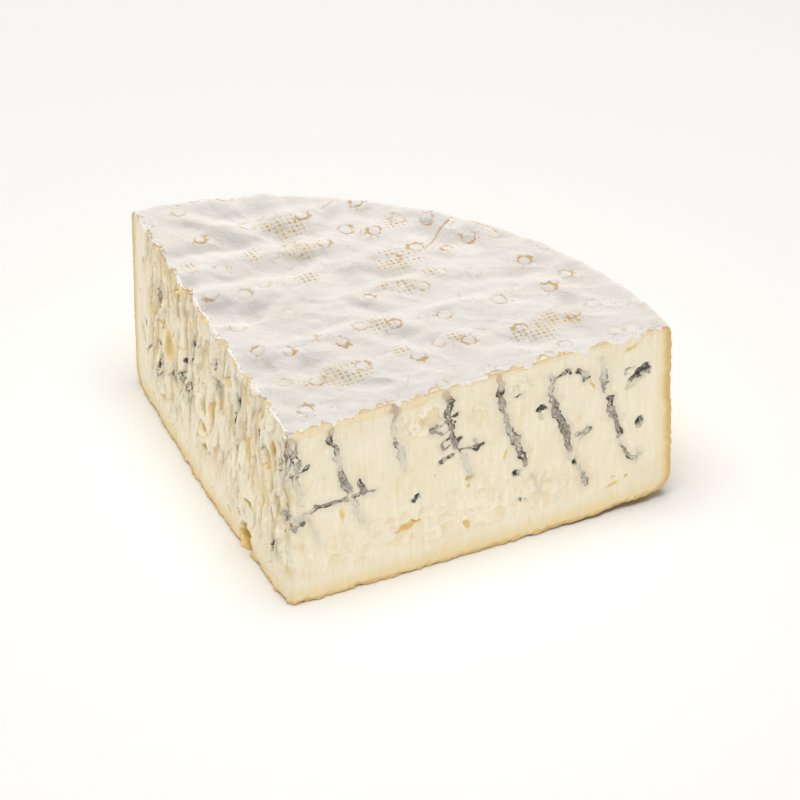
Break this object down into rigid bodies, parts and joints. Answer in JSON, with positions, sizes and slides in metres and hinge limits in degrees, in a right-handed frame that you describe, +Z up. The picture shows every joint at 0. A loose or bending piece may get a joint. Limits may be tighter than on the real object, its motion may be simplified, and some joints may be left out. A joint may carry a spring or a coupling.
{
  "type": "blue cheese wedge",
  "caption": "Quarter of a soft blue cheese wheel: pale undulating rind on top, browned rounded rim, marbled cut faces that meet at an upright front edge.",
  "frame": {"origin": "middle of the wedge's bounding box, on the surface it rests on", "axes": "+Z up, +Y from the point of the wedge toward the rim, +X toward the right end of the rim"},
  "size_m": [0.1524, 0.1107, 0.0557],
  "materials": {
    "cheese": "cream paste with blue-grey veins, white velvety rind on top, golden brown rim and foot"
  },
  "bodies": {
    "root": {"cheese_wedge": "cheese"}
  },
  "joints": []
}
